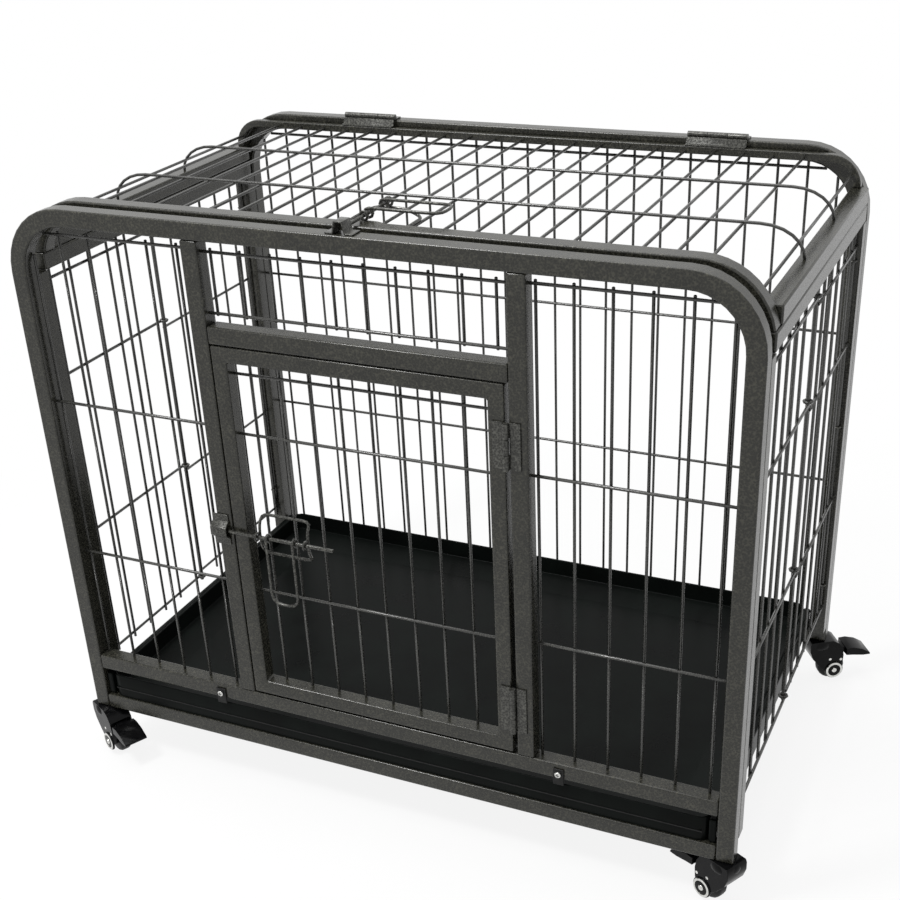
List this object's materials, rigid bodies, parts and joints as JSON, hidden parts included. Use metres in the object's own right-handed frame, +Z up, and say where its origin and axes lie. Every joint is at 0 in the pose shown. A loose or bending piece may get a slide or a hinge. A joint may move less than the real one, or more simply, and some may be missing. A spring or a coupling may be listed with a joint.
{
  "type": "folding dog cage",
  "caption": "Folding dog cage: two arched tube frames joined by folding wire sides, with a front door, wire lid, slide-out tray and braked casters.",
  "frame": {"origin": "floor under the cage's middle", "axes": "+X to the cage's right seen from the door, +Y from the door to the back, +Z up"},
  "size_m": [1.0704, 0.6397, 0.819],
  "materials": {
    "frame_paint": "dark hammertone enamel",
    "wire_paint": "dark hammertone enamel on wire",
    "fittings_paint": "dark hammertone enamel, worn at the edges",
    "tray_plastic": "black moulded tray",
    "clip_nylon": "black moulded nylon",
    "caster_nylon": "glossy black moulded nylon",
    "wheel_tyre": "black polyurethane tread"
  },
  "bodies": {
    "back_frame": {"back_arch": "frame_paint", "back_lower_rail": "frame_paint", "back_grille": "wire_paint", "rear_side_post_left": "frame_paint", "rear_side_post_right": "frame_paint", "lid_hinge_left_frame_leaf": "fittings_paint", "lid_hinge_right_frame_leaf": "fittings_paint"},
    "left_rear_half": {"side_rear_half_left": "wire_paint"},
    "left_front_half": {"side_front_half_left": "wire_paint"},
    "right_rear_half": {"side_rear_half_right": "wire_paint"},
    "right_front_half": {"side_front_half_right": "wire_paint"},
    "front_frame": {"front_arch": "frame_paint", "front_lower_rail": "frame_paint", "front_upper_rail": "frame_paint", "door_post_left": "frame_paint", "door_post_right": "frame_paint", "door_header": "frame_paint", "front_grille_left": "wire_paint", "front_grille_right": "wire_paint", "header_grille": "wire_paint", "front_side_post_left": "frame_paint", "front_side_post_right": "frame_paint", "door_hinge_upper_post_leaf": "fittings_paint", "door_hinge_lower_post_leaf": "fittings_paint", "door_bolt_keeper": "fittings_paint", "lid_bolt_keeper": "fittings_paint"},
    "side_braces": {"side_brace_left": "frame_paint", "side_brace_right": "frame_paint"},
    "lid": {"lid_front_arch": "frame_paint", "lid_back_bar": "frame_paint", "lid_side_rail_left": "frame_paint", "lid_side_rail_right": "frame_paint", "lid_grille": "wire_paint", "lid_hinge_left_lid_leaf": "fittings_paint", "lid_hinge_right_lid_leaf": "fittings_paint", "lid_bolt_guide": "fittings_paint"},
    "lid_bolt": {"lid_bolt": "fittings_paint"},
    "lid_bolt_handle": {"lid_bolt_handle": "fittings_paint"},
    "door": {"door_frame": "frame_paint", "door_grille": "wire_paint", "door_hinge_upper_door_leaf": "fittings_paint", "door_hinge_lower_door_leaf": "fittings_paint", "door_bolt_guide": "fittings_paint"},
    "door_bolt": {"door_bolt": "fittings_paint"},
    "door_bolt_handle": {"door_bolt_handle": "fittings_paint"},
    "tray": {"tray": "tray_plastic"},
    "tray_clip_left": {"tray_clip_left": "clip_nylon"},
    "tray_clip_right": {"tray_clip_right": "clip_nylon"},
    "caster_front_left": {"caster_front_left_hood": "caster_nylon"},
    "wheel_front_left": {"caster_front_left_wheel": "wheel_tyre"},
    "brake_pedal_front_left": {"caster_front_left_brake_pedal": "caster_nylon"},
    "caster_front_right": {"caster_front_right_hood": "caster_nylon"},
    "wheel_front_right": {"caster_front_right_wheel": "wheel_tyre"},
    "brake_pedal_front_right": {"caster_front_right_brake_pedal": "caster_nylon"},
    "caster_rear_left": {"caster_rear_left_hood": "caster_nylon"},
    "wheel_rear_left": {"caster_rear_left_wheel": "wheel_tyre"},
    "brake_pedal_rear_left": {"caster_rear_left_brake_pedal": "caster_nylon"},
    "caster_rear_right": {"caster_rear_right_hood": "caster_nylon"},
    "wheel_rear_right": {"caster_rear_right_wheel": "wheel_tyre"},
    "brake_pedal_rear_right": {"caster_rear_right_brake_pedal": "caster_nylon"}
  },
  "joints": [
    {"name": "side_fold", "type": "hinge", "parent": "back_frame", "child": "left_rear_half", "pos_m": [-0.462, 0.2313, 0.072], "axis": [0, 0, 1], "range_deg": [0, 75]},
    {"name": "left_middle_fold", "type": "hinge", "parent": "left_rear_half", "child": "left_front_half", "pos_m": [-0.462, 0, 0.072], "axis": [0, 0, 1], "range_deg": [-150, 0]},
    {"name": "front_frame_fold", "type": "hinge", "parent": "left_front_half", "child": "front_frame", "pos_m": [-0.462, -0.2313, 0.072], "axis": [0, 0, 1], "range_deg": [0, 75]},
    {"name": "right_rear_fold", "type": "hinge", "parent": "back_frame", "child": "right_rear_half", "pos_m": [0.462, 0.2313, 0.072], "axis": [0, 0, 1], "range_deg": [-75, 0]},
    {"name": "right_middle_fold", "type": "hinge", "parent": "right_rear_half", "child": "right_front_half", "pos_m": [0.462, 0, 0.072], "axis": [0, 0, 1], "range_deg": [0, 150]},
    {"name": "lid_fold_lift", "type": "hinge", "parent": "back_frame", "child": "side_braces", "pos_m": [0, 0.255, 0.8083], "axis": [-1, 0, 0], "range_deg": [0, 93.75]},
    {"name": "lid_hinge", "type": "hinge", "parent": "side_braces", "child": "lid", "pos_m": [0, 0.255, 0.8083], "axis": [-1, 0, 0], "range_deg": [0, 95]},
    {"name": "door_hinge", "type": "hinge", "parent": "front_frame", "child": "door", "pos_m": [0.18925, -0.2813, 0.072], "axis": [0, 0, 1], "range_deg": [0, 170]},
    {"name": "door_bolt_slide", "type": "slide", "parent": "door", "child": "door_bolt", "axis": [1, 0, 0], "range_m": [-0.011, 0.011]},
    {"name": "door_handle_swing", "type": "hinge", "parent": "door_bolt", "child": "door_bolt_handle", "pos_m": [-0.118, -0.2815, 0.409], "axis": [-1, 0, 0], "range_deg": [0, 160]},
    {"name": "lid_bolt_slide", "type": "slide", "parent": "lid", "child": "lid_bolt", "axis": [0, 1, 0], "range_m": [-0.0075, 0.0075]},
    {"name": "lid_handle_swing", "type": "hinge", "parent": "lid_bolt", "child": "lid_bolt_handle", "pos_m": [-0.004, -0.1825, 0.809], "axis": [0, -1, 0], "range_deg": [0, 160]},
    {"name": "tray_slide", "type": "slide", "parent": "back_frame", "child": "tray", "axis": [0, -1, 0], "range_m": [0, 0.48]},
    {"name": "tray_clip_left_turn", "type": "hinge", "parent": "front_frame", "child": "tray_clip_left", "pos_m": [-0.245, -0.277, 0.148], "axis": [0, 1, 0], "range_deg": [0, 90]},
    {"name": "tray_clip_right_turn", "type": "hinge", "parent": "front_frame", "child": "tray_clip_right", "pos_m": [0.247, -0.277, 0.148], "axis": [0, 1, 0], "range_deg": [0, 90]},
    {"name": "caster_front_left_swivel", "type": "hinge", "parent": "front_frame", "child": "caster_front_left", "pos_m": [-0.459, -0.266, 0.072], "axis": [0, 0, 1], "continuous": true},
    {"name": "wheel_front_left_spin", "type": "hinge", "parent": "caster_front_left", "child": "wheel_front_left", "pos_m": [-0.44029, -0.27553, 0.0205], "axis": [0.454, 0.891, 0], "continuous": true},
    {"name": "brake_pedal_front_left_press", "type": "hinge", "parent": "caster_front_left", "child": "brake_pedal_front_left", "pos_m": [-0.43494, -0.27826, 0.0472], "axis": [0.454, 0.891, 0], "range_deg": [0, 12]},
    {"name": "caster_front_right_swivel", "type": "hinge", "parent": "front_frame", "child": "caster_front_right", "pos_m": [0.459, -0.266, 0.072], "axis": [0, 0, 1], "continuous": true},
    {"name": "wheel_front_right_spin", "type": "hinge", "parent": "caster_front_right", "child": "wheel_front_right", "pos_m": [0.44046, -0.25614, 0.0205], "axis": [-0.4695, -0.8829, 0], "continuous": true},
    {"name": "brake_pedal_front_right_press", "type": "hinge", "parent": "caster_front_right", "child": "brake_pedal_front_right", "pos_m": [0.43516, -0.25332, 0.0472], "axis": [-0.4695, -0.8829, 0], "range_deg": [0, 12]},
    {"name": "caster_rear_left_swivel", "type": "hinge", "parent": "back_frame", "child": "caster_rear_left", "pos_m": [-0.459, 0.266, 0.072], "axis": [0, 0, 1], "continuous": true},
    {"name": "wheel_rear_left_spin", "type": "hinge", "parent": "caster_rear_left", "child": "wheel_rear_left", "pos_m": [-0.47873, 0.27318, 0.0205], "axis": [-0.342, -0.9397, 0], "continuous": true},
    {"name": "brake_pedal_rear_left_press", "type": "hinge", "parent": "caster_rear_left", "child": "brake_pedal_rear_left", "pos_m": [-0.48437, 0.27524, 0.0472], "axis": [-0.342, -0.9397, 0], "range_deg": [0, 12]},
    {"name": "caster_rear_right_swivel", "type": "hinge", "parent": "back_frame", "child": "caster_rear_right", "pos_m": [0.459, 0.266, 0.072], "axis": [0, 0, 1], "continuous": true},
    {"name": "wheel_rear_right_spin", "type": "hinge", "parent": "caster_rear_right", "child": "wheel_rear_right", "pos_m": [0.47641, 0.27774, 0.0205], "axis": [-0.5592, 0.829, 0], "continuous": true},
    {"name": "brake_pedal_rear_right_press", "type": "hinge", "parent": "caster_rear_right", "child": "brake_pedal_rear_right", "pos_m": [0.48138, 0.2811, 0.0472], "axis": [-0.5592, 0.829, 0], "range_deg": [0, 12]}
  ],
  "couplings": [
    {"joint": "left_middle_fold", "follows": "side_fold", "ratio": -2},
    {"joint": "front_frame_fold", "follows": "side_fold", "ratio": 1},
    {"joint": "right_rear_fold", "follows": "side_fold", "ratio": -1},
    {"joint": "right_middle_fold", "follows": "side_fold", "ratio": 2},
    {"joint": "lid_fold_lift", "follows": "side_fold", "ratio": 1.25}
  ]
}
